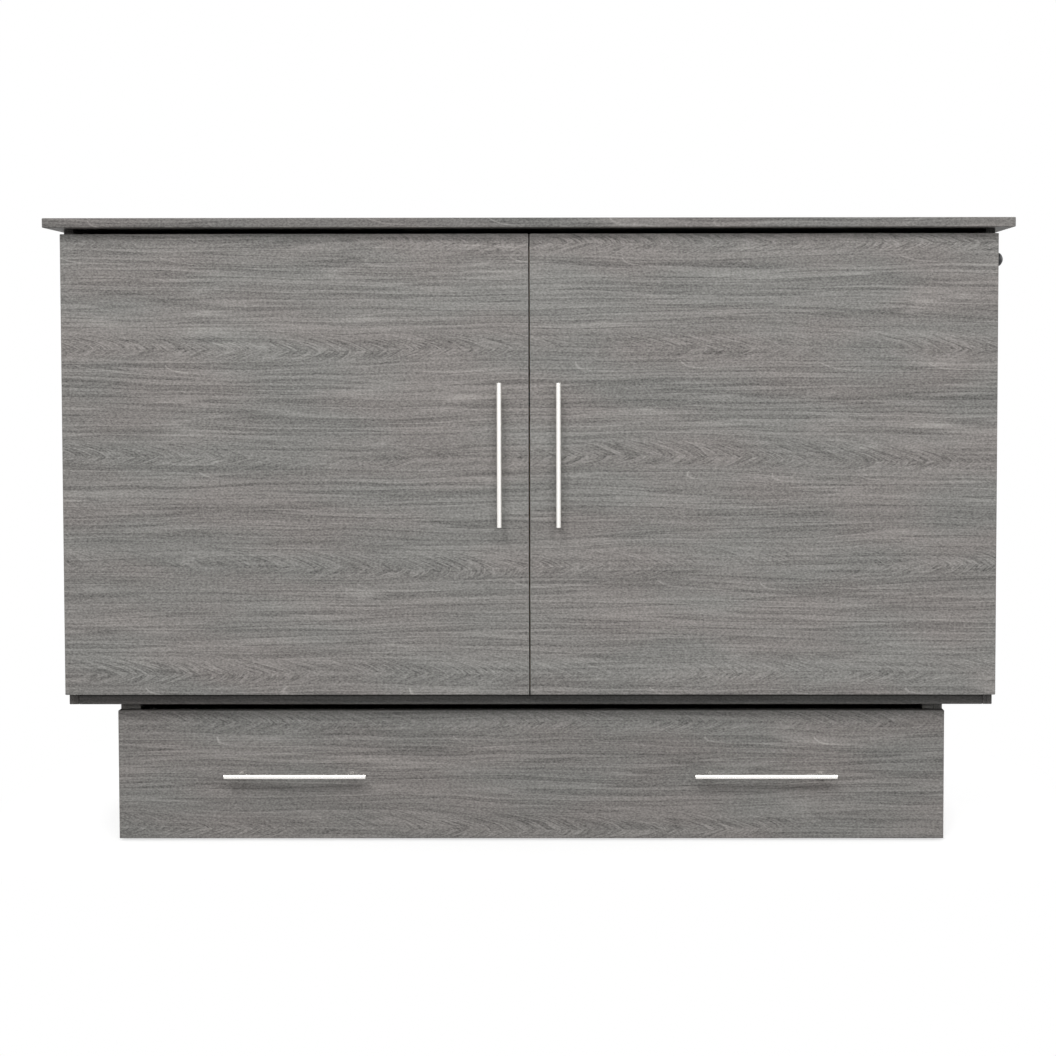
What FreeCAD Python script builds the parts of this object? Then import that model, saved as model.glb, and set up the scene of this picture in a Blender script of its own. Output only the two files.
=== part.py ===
import FreeCAD, Part
import math
import os

# Cabinet bed, closed. Millimetres, +Z up, the front faces -Y, +X is the right-hand side seen from the front.
# The origin lies on the floor, midway along the width and midway between the door pulls and the back.

# ---- driving sizes -------------------------------------------------------------------------------------------
# cabinet
cabinet_height = 1077.0
carcass_width = 1586.6
carcass_depth = 570.0
board = 16.0                 # every carcass board, door and drawer front
top_board = 16.0             # lid and rear top strip
edge_ease = 0.8              # softened edges of the boards
plinth_height = 246.0        # underside of the floor panel
panel_joint = 0.4            # floor panel to a side panel
plinth_inset = 1.0           # plinth sides behind the ends of the drawer front
glide_height = 3.0
glide_radius = 12.0
glide_end_inset = 40.0
back_thickness = 6.0
back_rail_height = 80.0
rear_strip_depth = 90.0
anchor_spacing = 800.0
anchor_hole_radius = 3.5
anchor_below_strip = 31.0
bearer_width = 18.0
cross_bearer_width = 60.0
cross_bearer_setback = 60.0

# lid
lid_side_overhang = 25.7     # past the carcass sides
lid_front_overhang = 22.0    # past the door faces
lid_hinge_radius = 3.0
lid_hinge_pin_radius = 1.5
lid_hinge_leaf = 1.2
lid_hinge_leaf_depth = 12.0
lid_hinge_end_inset = 43.3   # hinge ends inside the carcass sides
lid_knuckles = 30
lid_screw_spacing = 200.0
lid_hinge_sink = 0.2         # top of the knuckles below the top face
lid_edge_chamfer = 1.0

# doors
door_back_gap = 2.5          # door to carcass front
door_side_overhang = 2.0     # past the carcass sides
door_centre_gap = 2.0
door_lid_gap = 9.5
door_floor_gap = 3.5         # door bottom above the floor panel's top face
door_hinge_radius = 2.0
door_hinge_pin_radius = 1.05
door_hinge_leaf = 1.0
door_hinge_leaf_width = 14.0
door_hinge_length = 60.0
door_hinge_inset = 80.0      # hinge middle from the door's top and bottom
mortise_clearance = 0.3

# pulls
pull_length = 245.0
pull_radius = 4.5
pull_post_spacing = 192.0
pull_post_radius = 2.9
pull_standoff = 26.5         # bar axis to the board's face
pull_end_chamfer = 0.5
door_pull_from_centre = 50.1
door_pull_height = 677.0
drawer_pull_from_centre = 407.0
drawer_pull_height = 119.6

# drawer
drawer_front_end_inset = 75.8    # ends of the drawer front inside the carcass sides
drawer_front_setback = 30.5  # drawer face behind the carcass front
drawer_front_ground = 5.0
drawer_front_top_gap = 16.4
drawer_to_plinth_gap = 0.3   # the closed drawer front rests against the plinth sides
drawer_side_clearance = 4.0
drawer_back_clearance = 28.5     # box to the plinth's back rail
drawer_top_clearance = 15.0      # box to the bearers under the floor panel
drawer_bottom_thickness = 9.0
wheel_radius = 20.0
wheel_width = 18.0
wheel_edge_round = 2.0
axle_radius = 3.0
caster_plate = 1.5
caster_ear = 2.0
caster_ear_width = 24.0
wheel_side_clearance = 0.5
wheel_top_clearance = 1.5
front_wheel_inset = 60.0     # wheel middle behind the drawer front's back face
rear_wheel_inset = 50.0      # wheel middle before the box's back
wheel_from_end = 80.0        # wheel middle from the end of the drawer front

# deck and mattress, stored behind the doors
leaf_top_clearance = 28.0    # leaf ends below the lid
leaf_side_clearance = 7.3    # leaf to a side panel
leaf_frame_thickness = 22.0
leaf_rail_width = 45.0
slat_thickness = 10.0
slat_width = 60.0
slat_count = 8
leaf_gap = 2.0               # between the two folded leaves
leg_setback = 5.0            # first leg behind the carcass front
leaf_ground = 6.0            # leaf ends above the floor panel
leg_radius = 11.0
leg_wall = 1.5
leg_length = 225.0
leg_spread = 1120.0
leg_bend_radius = 60.0
leg_end_inset = 48.0         # leg pivot from the leaf's free end
leg_pin_radius = 4.0
leg_to_frame = 3.0
leg_plate = 2.0
leg_plate_half_width = 24.0
leg_ear_clearance = 0.5
deck_hinge_radius = 2.5
deck_hinge_plate = 1.5
deck_hinge_plate_width = 20.0
deck_hinge_length = 70.0
deck_hinge_from_end = 120.0      # middle of an outer hinge from the leaf's end
deck_hinge_inner_spacing = 440.0
head_deck_height = 36.0
head_deck_batten = 26.0
head_deck_side_clearance = 27.3
mattress_side_clearance = 15.3
mattress_top_clearance = 85.367  # folded mattress below the lid
mattress_back_clearance = 19.6
mattress_edge_round = 22.0
leg_to_strap = 1.0
soft_clearance = 0.3
strap_width = 40.0
strap_thickness = 1.2
strap_from_bottom = 151.7
strap_from_top = 175.633

# deck latch in the right side panel
latch_below_leaf_top = 23.0
latch_pin_radius = 3.0
latch_engagement = 7.0
latch_bush_radius = 8.0
latch_boss_radius = 10.0
latch_boss_length = 9.0
latch_flange_radius = 13.0
latch_flange = 2.0
latch_end_wall = 2.5
latch_chamber_radius = 6.0
latch_collar = 2.0
latch_collar_clearance = 0.4     # collar to the chamber's wall
latch_knob_radius = 11.6
latch_knob_length = 11.2
latch_knob_gap = 0.7
spring_wire_radius = 0.4
spring_mean_radius = 4.6
spring_turns = 7

# small hardware
running_clearance = 0.05
knuckle_gap = 0.3
catch_width = 44.0
catch_depth = 17.0
catch_height = 14.0
catch_from_centre = 34.0
catch_clearance = 0.3
strike_thickness = 1.0
strike_height = 12.0
screw_head_radius = 3.0
screw_head_height = 1.6
screw_radius = 1.6
screw_length = 13.0
pull_screw_radius = 2.0
pull_screw_head_radius = 4.0
pull_screw_head = 2.0
pull_screw_grip = 10.0       # thread length inside a post

# ---- places worked out from the sizes -------------------------------------------------------------------------
X, Y, Z = FreeCAD.Vector(1, 0, 0), FreeCAD.Vector(0, 1, 0), FreeCAD.Vector(0, 0, 1)
pull_reach = pull_standoff + pull_radius
front = (door_back_gap + board + pull_reach - carcass_depth) / 2     # front plane of the carcass
back = front + carcass_depth
side_out = carcass_width / 2
side_in = side_out - board
side_top = cabinet_height - top_board
floor_top = plinth_height + board
inner_back = back - back_thickness
door_back = front - door_back_gap
door_face = door_back - board
door_bottom = floor_top + door_floor_gap
door_top = side_top - door_lid_gap
lid_half = side_out + lid_side_overhang
lid_front = door_face - lid_front_overhang
strip_front = back - rear_strip_depth
lid_edge_gap = lid_hinge_radius + mortise_clearance
lid_axis_y = strip_front - lid_edge_gap
lid_axis_z = cabinet_height - lid_hinge_radius - lid_hinge_sink
lid_hinge_length = carcass_width - 2 * lid_hinge_end_inset
door_axis_y = front - door_back_gap / 2
drawer_face = front + drawer_front_setback
drawer_inner = drawer_face + board
plinth_front = drawer_inner + drawer_to_plinth_gap
front_half = side_out - drawer_front_end_inset
plinth_out = front_half - plinth_inset
plinth_in = plinth_out - board
box_half = plinth_in - drawer_side_clearance
box_back = inner_back - board - drawer_back_clearance
bearer_low = plinth_height - board
wheel_top = 2 * wheel_radius + wheel_top_clearance
box_underside = wheel_top + caster_plate
box_floor = box_underside + drawer_bottom_thickness
box_top = bearer_low - drawer_top_clearance
drawer_front_top = plinth_height - drawer_front_top_gap
leaf_bottom = floor_top + leaf_ground
leaf_top = side_top - leaf_top_clearance
leaf_half = side_in - leaf_side_clearance
mid_frame_front = front + leg_setback + 2 * leg_radius + leg_to_frame
mid_frame_back = mid_frame_front + leaf_frame_thickness
foot_frame_front = mid_frame_back + 2 * slat_thickness + leaf_gap
foot_frame_back = foot_frame_front + leaf_frame_thickness
foot_leg_back = foot_frame_back + leg_to_frame + 2 * leg_radius
mattress_front = foot_leg_back + leg_to_strap + strap_thickness + soft_clearance
mattress_back = inner_back - mattress_back_clearance
mattress_bottom = floor_top + head_deck_height + soft_clearance
mattress_top = side_top - mattress_top_clearance
mattress_half = side_in - mattress_side_clearance
latch_y = mid_frame_front + leaf_frame_thickness / 2
latch_z = leaf_top - latch_below_leaf_top
parts = {}


# ---- small shapes ---------------------------------------------------------------------------------------------
def box(x0, x1, y0, y1, z0, z1):
    return Part.makeBox(x1 - x0, y1 - y0, z1 - z0, FreeCAD.Vector(x0, y0, z0))


def eased(x0, x1, y0, y1, z0, z1, ease=edge_ease):
    block = box(x0, x1, y0, y1, z0, z1)
    return block.makeChamfer(ease, block.Edges)


def rod(radius, start, direction, length):
    return Part.makeCylinder(radius, length, FreeCAD.Vector(*start), direction)


def turned(profile, start, direction):
    """A solid turned about an axis: profile lists (distance along the axis, radius)."""
    points = [FreeCAD.Vector(r, 0, d) for d, r in profile]
    points = [FreeCAD.Vector(0, 0, profile[0][0])] + points + [FreeCAD.Vector(0, 0, profile[-1][0])]
    face = Part.Face(Part.makePolygon(points + [points[0]]))
    solid = face.revolve(FreeCAD.Vector(0, 0, 0), Z, 360)
    solid.rotate(FreeCAD.Vector(0, 0, 0), *axis_turn(direction))
    solid.translate(FreeCAD.Vector(*start))
    return solid


def axis_turn(direction):
    turn = FreeCAD.Rotation(Z, direction)
    return turn.Axis, math.degrees(turn.Angle)


def mirrored(shape):
    return shape.mirror(FreeCAD.Vector(0, 0, 0), X)


def both_sides(shapes):
    return list(shapes) + [mirrored(s) for s in shapes]


def less(shape, tools):
    return shape.cut(list(tools)) if tools else shape


def wood_screw(start, direction):
    profile = [(0, screw_head_radius), (screw_head_height, screw_radius), (screw_length, screw_radius)]
    return turned(profile, start, direction)


def one_solid(shape):
    merged = shape.removeSplitter()
    return merged.Solids[0] if len(merged.Solids) == 1 else merged


def keep(name, *shapes):
    solids = [solid for shape in shapes for solid in shape.Solids]
    parts[name] = solids


# ---- hinges ---------------------------------------------------------------------------------------------------
def hinge_leaf(length, count, own, radius, bore, plate, depth, offset):
    """A hinge leaf along +Z: its knuckles lie on the Z axis and its plate lies on the -X side, at Y offset."""
    pitch = length / count
    root = -radius - mortise_clearance
    leaf = box(-depth, root, offset, offset + plate, 0, length)
    for index in range(count):
        if index % 2 != own:
            continue
        low = index * pitch + (knuckle_gap / 2 if index else 0)
        high = (index + 1) * pitch - (knuckle_gap / 2 if index < count - 1 else 0)
        leaf = leaf.fuse(box(root, 0, offset, offset + plate, low, high))
        leaf = leaf.fuse(rod(radius, (0, 0, low), Z, high - low))
    return one_solid(leaf).cut(rod(bore, (0, 0, 0), Z, length))


def door_hinge(bottom, side):
    """Fixed leaf, moving leaf, pin and screws of one butt hinge on the right side, or mirrored to the left."""
    place = FreeCAD.Vector(side_out, door_axis_y, bottom)
    half_gap = door_back_gap / 2
    sizes = dict(radius=door_hinge_radius, plate=door_hinge_leaf, depth=door_hinge_leaf_width)
    fixed = hinge_leaf(door_hinge_length, 3, 0, bore=door_hinge_pin_radius, offset=half_gap - door_hinge_leaf,
                       **sizes)
    moving = hinge_leaf(door_hinge_length, 3, 1, bore=door_hinge_pin_radius + running_clearance,
                        offset=-half_gap, **sizes)
    pin = rod(door_hinge_pin_radius, (0, 0, 0), Z, door_hinge_length)
    for shape in (fixed, moving, pin):
        shape.translate(place)
    screw_x = side_out - door_hinge_leaf_width / 2 - door_hinge_radius / 2
    fixed_screws = []
    moving_screws = []
    for share in (0.2, 0.8):
        z = bottom + share * door_hinge_length
        fixed_screws.append(wood_screw((screw_x, front - door_hinge_leaf, z), Y))
        moving_screws.append(wood_screw((screw_x, door_back + door_hinge_leaf, z), -Y))
    made = [less(fixed, fixed_screws), less(moving, moving_screws), pin, fixed_screws, moving_screws]
    if side < 0:
        made = [[mirrored(s) for s in item] if isinstance(item, list) else mirrored(item) for item in made]
    return made


door_hinge_bottoms = [
    door_bottom + door_hinge_inset - door_hinge_length / 2,
    (door_bottom + door_top - door_hinge_length) / 2,
    door_top - door_hinge_inset - door_hinge_length / 2,
]
hinges = {side: [door_hinge(z, side) for z in door_hinge_bottoms] for side in (-1, 1)}


def hinge_mortises(side):
    radius = door_hinge_radius + mortise_clearance
    length = door_hinge_length + 2 * mortise_clearance
    starts = [(side * side_out, door_axis_y, z - mortise_clearance) for z in door_hinge_bottoms]
    return [rod(radius, start, Z, length) for start in starts]


def lid_hinge():
    sizes = dict(radius=lid_hinge_radius, plate=lid_hinge_leaf, depth=lid_hinge_leaf_depth)
    offset = lid_edge_gap - lid_hinge_leaf
    fixed = hinge_leaf(lid_hinge_length, lid_knuckles, 0, bore=lid_hinge_pin_radius, offset=offset, **sizes)
    moving = hinge_leaf(lid_hinge_length, lid_knuckles, 1, bore=lid_hinge_pin_radius + running_clearance,
                        offset=-lid_edge_gap, **sizes)
    # the leaf's own X and Z axes become Z and -X of the cabinet, so its plate hangs down
    place = FreeCAD.Vector(lid_hinge_length / 2, lid_axis_y, lid_axis_z)
    for shape in (fixed, moving):
        shape.rotate(FreeCAD.Vector(0, 0, 0), Y, -90)
        shape.translate(place)
    pin = rod(lid_hinge_pin_radius, (-lid_hinge_length / 2, lid_axis_y, lid_axis_z), X, lid_hinge_length)
    return fixed, moving, pin


# ---- carcass --------------------------------------------------------------------------------------------------
def pull_bar(axis_start, direction):
    bar = rod(pull_radius, axis_start, direction, pull_length)
    rims = [edge for edge in bar.Edges if isinstance(edge.Curve, Part.Circle)]
    return bar.makeChamfer(pull_end_chamfer, rims)


def pull(x, face, z, upright, boards_behind):
    """Bar, posts and screws of one pull on a face that looks to -Y."""
    bar_y = face - pull_standoff
    half = pull_post_spacing / 2
    if upright:
        bar = pull_bar((x, bar_y, z - pull_length / 2), Z)
        places = [(x, z - half), (x, z + half)]
    else:
        bar = pull_bar((x - pull_length / 2, bar_y, z), X)
        places = [(x - half, z), (x + half, z)]
    screws = []
    posts = []
    for post_x, post_z in places:
        screw = rod(pull_screw_radius, (post_x, face - pull_screw_grip, post_z), Y, pull_screw_grip + boards_behind)
        head_start = (post_x, face + boards_behind, post_z)
        head = rod(pull_screw_head_radius, head_start, Y, pull_screw_head)
        screws.append(one_solid(screw.fuse(head)))
        post = rod(pull_post_radius, (post_x, bar_y, post_z), Y, pull_standoff)
        posts.append(post.cut([bar, screws[-1]]))
    return bar, posts, screws


door_pulls = {
    side: pull(side * door_pull_from_centre, door_face, door_pull_height, True, board) for side in (-1, 1)
}
drawer_pulls = [
    pull(side * drawer_pull_from_centre, drawer_face, drawer_pull_height, False, 2 * board) for side in (-1, 1)
]


def make_sides():
    side = eased(side_in, side_out, front, back, plinth_height, side_top)
    fixed_screws = [screw for hinge in hinges[1] for screw in hinge[3]]
    side = less(side, hinge_mortises(1) + fixed_screws)
    bush_hole = rod(latch_bush_radius, (side_in, latch_y, latch_z), X, board)
    keep("left_side_panel", mirrored(side))
    keep("right_side_panel", side.cut(bush_hole))


def anchor_holes():
    z = side_top - anchor_below_strip
    start_y = inner_back - board
    return [
        rod(anchor_hole_radius, (side * anchor_spacing / 2, start_y, z), Y, back - start_y) for side in (-1, 1)
    ]


def make_carcass():
    make_sides()
    panel_half = side_in - panel_joint
    keep("floor_panel", eased(-panel_half, panel_half, front, inner_back, plinth_height, floor_top))
    back_board = box(-side_in, side_in, inner_back, back, plinth_height, side_top)
    keep("back_panel", less(back_board, anchor_holes()))
    rail = box(-side_in, side_in, inner_back - board, inner_back, side_top - back_rail_height, side_top)
    keep("back_top_rail", less(rail, anchor_holes()))
    plinth_side = eased(plinth_in, plinth_out, plinth_front, inner_back, glide_height, plinth_height)
    keep("plinth_sides", plinth_side, mirrored(plinth_side))
    rail_y = inner_back - board
    keep("plinth_back_rail", box(-plinth_in, plinth_in, rail_y, inner_back, glide_height, plinth_height))
    side_bearer = box(plinth_in - bearer_width, plinth_in, plinth_front, rail_y, bearer_low, plinth_height)
    cross_front = plinth_front + cross_bearer_setback
    cross_back = cross_front + cross_bearer_width
    cross_half = plinth_in - bearer_width
    cross = box(-cross_half, cross_half, cross_front, cross_back, bearer_low, plinth_height)
    middle = box(-cross_bearer_width / 2, cross_bearer_width / 2, cross_back, rail_y, bearer_low, plinth_height)
    keep("floor_bearers", *both_sides([side_bearer]), cross, middle)
    glides = []
    for y in (plinth_front + glide_end_inset, (plinth_front + inner_back) / 2, inner_back - glide_end_inset):
        glides.append(rod(glide_radius, (plinth_out - board / 2, y, 0), Z, glide_height))
    keep("floor_glides", *both_sides(glides))


# ---- lid ------------------------------------------------------------------------------------------------------
def lid_screw_places():
    gaps = int(lid_hinge_length // lid_screw_spacing) - 1
    return [(index - gaps / 2) * lid_screw_spacing for index in range(gaps + 1)]


def make_lid():
    fixed, moving, pin = lid_hinge()
    screw_z = lid_axis_z - (lid_hinge_radius + lid_hinge_leaf_depth) / 2
    strip_screws = []
    lid_screws = []
    for x in lid_screw_places():
        strip_screws.append(wood_screw((x, strip_front - lid_hinge_leaf, screw_z), Y))
        lid_screws.append(wood_screw((x, lid_axis_y - lid_edge_gap + lid_hinge_leaf, screw_z), -Y))
    strip = eased(-lid_half, lid_half, strip_front, back, side_top, cabinet_height, lid_edge_chamfer)
    keep("rear_top_strip", less(strip, strip_screws))
    lid_back = lid_axis_y - lid_edge_gap
    lid = eased(-lid_half, lid_half, lid_front, lid_back, side_top, cabinet_height, lid_edge_chamfer)
    keep("lid_panel", less(lid, lid_screws))
    keep("lid_hinge_fixed_leaf", less(fixed, strip_screws))
    keep("lid_hinge_moving_leaf", less(moving, lid_screws))
    keep("lid_hinge_pin", pin)
    keep("lid_screws", *lid_screws)
    door_screws = [screw for side in (-1, 1) for hinge in hinges[side] for screw in hinge[3]]
    keep("carcass_screws", *strip_screws, *door_screws)


# ---- doors ----------------------------------------------------------------------------------------------------
def make_door(side):
    name = "right_door" if side > 0 else "left_door"
    inner = door_centre_gap / 2
    outer = side_out + door_side_overhang
    bar, posts, pull_screws = door_pulls[side]
    hinge_screws = [screw for hinge in hinges[side] for screw in hinge[4]]
    panel = eased(inner, outer, door_face, door_back, door_bottom, door_top)
    if side < 0:
        panel = mirrored(panel)
    keep(name + "_panel", less(panel, hinge_mortises(side) + hinge_screws + pull_screws))
    keep(name + "_hinge_moving_leaves", *[hinge[1] for hinge in hinges[side]])
    keep(name + "_pull_bar", bar)
    keep(name + "_pull_posts", *posts)
    keep(name + "_screws", *hinge_screws, *pull_screws)
    low = door_bottom + edge_ease
    strike_half = catch_width / 2
    x = side * catch_from_centre
    strike = box(x - strike_half, x + strike_half, door_back, door_back + strike_thickness, low, low + strike_height)
    keep(name + "_strike", strike)


def make_catches():
    catch_front = door_back + strike_thickness + catch_clearance
    x0 = catch_from_centre - catch_width / 2
    catch = eased(x0, x0 + catch_width, catch_front, catch_front + catch_depth, floor_top, floor_top + catch_height)
    keep("door_catches", *both_sides([catch]))
    keep("door_hinge_fixed_leaves", *[hinge[0] for side in (-1, 1) for hinge in hinges[side]])
    keep("door_hinge_pins", *[hinge[2] for side in (-1, 1) for hinge in hinges[side]])


# ---- drawer ---------------------------------------------------------------------------------------------------
def wheel_places():
    x = front_half - wheel_from_end
    return {"front": (x, drawer_inner + front_wheel_inset), "rear": (x, box_back - rear_wheel_inset)}


def caster(x, y):
    """Bracket, axle and wheel of one roller under the drawer."""
    ear_in = wheel_width / 2 + wheel_side_clearance
    ear_out = ear_in + caster_ear
    half = caster_ear_width / 2
    bracket = box(x - ear_out, x + ear_out, y - half, y + half, wheel_top, box_underside)
    low = wheel_radius - half / 2
    for side in (-1, 1):
        x0, x1 = sorted((x + side * ear_in, x + side * ear_out))
        bracket = bracket.fuse(box(x0, x1, y - half, y + half, low, wheel_top))
    bracket = one_solid(bracket)
    axle = rod(axle_radius, (x - ear_out, y, wheel_radius), X, 2 * ear_out)
    wheel = rod(wheel_radius, (x - wheel_width / 2, y, wheel_radius), X, wheel_width)
    rims = [edge for edge in wheel.Edges if isinstance(edge.Curve, Part.Circle)]
    wheel = wheel.makeFillet(wheel_edge_round, rims)
    bore = rod(axle_radius + running_clearance, (x - wheel_width, y, wheel_radius), X, 2 * wheel_width)
    return bracket.cut(axle), axle, wheel.cut(bore)


def make_drawer():
    screws = [screw for item in drawer_pulls for screw in item[2]]
    face = eased(-front_half, front_half, drawer_face, drawer_inner, drawer_front_ground, drawer_front_top)
    keep("drawer_front", less(face, screws))
    inner_front = drawer_inner + board
    inside = box_half - board
    sub_front = box(-inside, inside, drawer_inner, inner_front, box_floor, box_top)
    keep("drawer_inner_front", less(sub_front, screws))
    side = eased(inside, box_half, drawer_inner, box_back, box_floor, box_top)
    keep("drawer_sides", *both_sides([side]))
    keep("drawer_back", box(-inside, inside, box_back - board, box_back, box_floor, box_top))
    keep("drawer_bottom", box(-box_half, box_half, drawer_inner, box_back, box_underside, box_floor))
    keep("drawer_pull_bars", *[item[0] for item in drawer_pulls])
    keep("drawer_pull_posts", *[post for item in drawer_pulls for post in item[1]])
    keep("drawer_screws", *screws)
    brackets = []
    axles = []
    for name, (x, y) in wheel_places().items():
        bracket, axle, wheel = caster(x, y)
        brackets.append(bracket)
        axles.append(axle)
        keep(name + "_wheels", *both_sides([wheel]))
    keep("wheel_brackets", *both_sides(brackets))
    keep("wheel_axles", *both_sides(axles))


# ---- deck leaves and legs -------------------------------------------------------------------------------------
def leaf_frame(y0, y1):
    inner = leaf_half - leaf_rail_width
    side = eased(inner, leaf_half, y0, y1, leaf_bottom, leaf_top)
    low_end = box(-inner, inner, y0, y1, leaf_bottom, leaf_bottom + leaf_rail_width)
    high_end = box(-inner, inner, y0, y1, leaf_top - leaf_rail_width, leaf_top)
    half = leaf_rail_width / 2
    middle = box(-half, half, y0, y1, leaf_bottom + leaf_rail_width, leaf_top - leaf_rail_width)
    return side, low_end, high_end, middle


def slats(y0):
    pitch = (leaf_top - leaf_bottom - slat_width) / (slat_count - 1)
    made = []
    for index in range(slat_count):
        z = leaf_bottom + index * pitch
        made.append(eased(-leaf_half, leaf_half, y0, y0 + slat_thickness, z, z + slat_width))
    return made


def u_leg(y, pivot_z, down):
    """A bent tube leg, folded flat: two legs from their pivots to a cross bar, with rounded corners."""
    half = leg_spread / 2
    sign = -1 if down else 1
    end_z = pivot_z + sign * (leg_length - leg_radius)
    turn_z = end_z - sign * leg_bend_radius
    mid = leg_bend_radius * (1 - math.sqrt(0.5))
    start = FreeCAD.Vector(-half, y, pivot_z - sign * leg_radius)
    a = FreeCAD.Vector(-half, y, turn_z)
    a_mid = FreeCAD.Vector(-half + mid, y, end_z - sign * mid)
    b = FreeCAD.Vector(-half + leg_bend_radius, y, end_z)
    flip = [FreeCAD.Vector(-p.x, p.y, p.z) for p in (b, a_mid, a, start)]
    edges = [
        Part.LineSegment(start, a).toShape(),
        Part.Arc(a, a_mid, b).toShape(),
        Part.LineSegment(b, flip[0]).toShape(),
        Part.Arc(flip[0], flip[1], flip[2]).toShape(),
        Part.LineSegment(flip[2], flip[3]).toShape(),
    ]
    path = Part.Wire(edges)
    tube = []
    for radius in (leg_radius, leg_radius - leg_wall):
        ring = Part.Wire([Part.makeCircle(radius, start, Z)])
        tube.append(path.makePipeShell([ring], True, True))
    return tube[0].cut(tube[1])


def leg_pivots(y, frame_y, pivot_z):
    """Bracket and pin at each end of a leg: a plate on the frame, two ears and a cross pin."""
    toward = 1 if frame_y > y else -1
    ear_in = leg_radius + leg_ear_clearance
    ear_out = ear_in + leg_plate
    half = leg_plate_half_width
    y0, y1 = sorted((frame_y, frame_y - toward * leg_plate))
    e0, e1 = sorted((frame_y - toward * leg_plate, y - toward * leg_radius))
    made = []
    for side in (-1, 1):
        x = side * leg_spread / 2
        bracket = box(x - ear_out, x + ear_out, y0, y1, pivot_z - half, pivot_z + half)
        for s in (-1, 1):
            x0, x1 = sorted((x + s * ear_in, x + s * ear_out))
            ear = box(x0, x1, e0, e1, pivot_z - leg_radius, pivot_z + leg_radius)
            bracket = bracket.fuse(ear)
        pin = rod(leg_pin_radius, (x - ear_out, y, pivot_z), X, 2 * ear_out)
        made += [one_solid(bracket).cut(pin), pin]
    return made


def deck_hinges():
    """Butt hinges: floor panel to the mid leaf, and mid leaf to the foot leaf across their top ends."""
    made = []
    plate = deck_hinge_plate
    low_y = mid_frame_front - deck_hinge_radius - plate
    low_z = floor_top + deck_hinge_radius + plate
    fold_y = mid_frame_back + slat_thickness + leaf_gap / 2
    fold_z = leaf_top + deck_hinge_radius + plate
    width = deck_hinge_plate_width
    outer = leaf_half - deck_hinge_from_end
    inner = deck_hinge_inner_spacing / 2
    for x in (-outer, -inner, inner, outer):
        x0, x1 = x - deck_hinge_length / 2, x + deck_hinge_length / 2
        barrel = rod(deck_hinge_radius, (x0, low_y, low_z), X, deck_hinge_length)
        flat = box(x0, x1, low_y - width, low_y + plate, floor_top, floor_top + plate)
        upright = box(x0, x1, mid_frame_front - plate, mid_frame_front, leaf_bottom, leaf_bottom + width)
        web = box(x0, x1, low_y, mid_frame_front, low_z - plate / 2, low_z + plate / 2)
        foot = box(x0, x1, low_y - plate / 2, low_y + plate / 2, floor_top, low_z)
        rise = box(x0, x1, mid_frame_front - plate, mid_frame_front, low_z - plate / 2, leaf_bottom)
        made.append(one_solid(barrel.fuse([flat, upright, web, foot, rise])))
        barrel = rod(deck_hinge_radius, (x0, fold_y, fold_z), X, deck_hinge_length)
        across = box(x0, x1, fold_y - width, fold_y + width, leaf_top, leaf_top + plate)
        riser = box(x0, x1, fold_y - plate / 2, fold_y + plate / 2, leaf_top, fold_z)
        made.append(one_solid(barrel.fuse([across, riser])))
    return made


def make_deck():
    pin_hole = rod(latch_pin_radius + running_clearance,
                   (leaf_half - latch_engagement - 1, latch_y, latch_z), X, latch_engagement + 2)
    side, *others = leaf_frame(mid_frame_front, mid_frame_back)
    keep("mid_leaf_frame", side.cut(pin_hole), mirrored(side), *others)
    keep("mid_leaf_slats", *slats(mid_frame_back))
    side, *others = leaf_frame(foot_frame_front, foot_frame_back)
    keep("foot_leaf_frame", side, mirrored(side), *others)
    keep("foot_leaf_slats", *slats(foot_frame_front - slat_thickness))
    mid_y = mid_frame_front - leg_to_frame - leg_radius
    mid_z = leaf_top - leg_end_inset
    mid_pivots = leg_pivots(mid_y, mid_frame_front, mid_z)
    foot_y = foot_frame_back + leg_to_frame + leg_radius
    foot_z = leaf_bottom + leg_end_inset
    foot_pivots = leg_pivots(foot_y, foot_frame_back, foot_z)
    mid_leg = u_leg(mid_y, mid_z, True).cut(mid_pivots)
    keep("deck_legs", mid_leg, u_leg(foot_y, foot_z, False).cut(foot_pivots))
    keep("leg_pivots", *mid_pivots, *foot_pivots)
    keep("deck_hinges", *deck_hinges())
    half = side_in - head_deck_side_clearance
    slat_low = floor_top + head_deck_batten
    slat_high = floor_top + head_deck_height
    deck_back = inner_back - board - leaf_gap
    battens = []
    for x in (-half + leaf_rail_width / 2, 0, half - leaf_rail_width / 2):
        x0 = x - leaf_rail_width / 2
        battens.append(box(x0, x0 + leaf_rail_width, mattress_front, deck_back, floor_top, slat_low))
    keep("head_deck_battens", *battens)
    count = slat_count // 2 + 1
    pitch = (deck_back - mattress_front - slat_width) / (count - 1)
    head_slats = []
    for index in range(count):
        y = mattress_front + index * pitch
        head_slats.append(eased(-half, half, y, y + slat_width, slat_low, slat_high))
    keep("head_deck_slats", *head_slats)


# ---- mattress -------------------------------------------------------------------------------------------------
def make_mattress():
    pitch = (mattress_back - mattress_front) / 3
    for index, name in enumerate(("foot", "middle", "head")):
        y0 = mattress_front + index * pitch
        y1 = y0 + pitch - soft_clearance
        block = box(-mattress_half, mattress_half, y0, y1, mattress_bottom, mattress_top)
        keep("mattress_" + name + "_section", block.makeFillet(mattress_edge_round, block.Edges))
    y0 = mattress_front - soft_clearance
    y1 = mattress_back
    reach = mattress_half + soft_clearance
    straps = []
    for z in (mattress_bottom + strap_from_bottom, mattress_top - strap_from_top):
        outer = box(-reach - strap_thickness, reach + strap_thickness, y0 - strap_thickness, y1 + strap_thickness,
                    z, z + strap_width)
        straps.append(outer.cut(box(-reach, reach, y0, y1, z, z + strap_width)))
    keep("mattress_straps", *straps)


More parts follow.
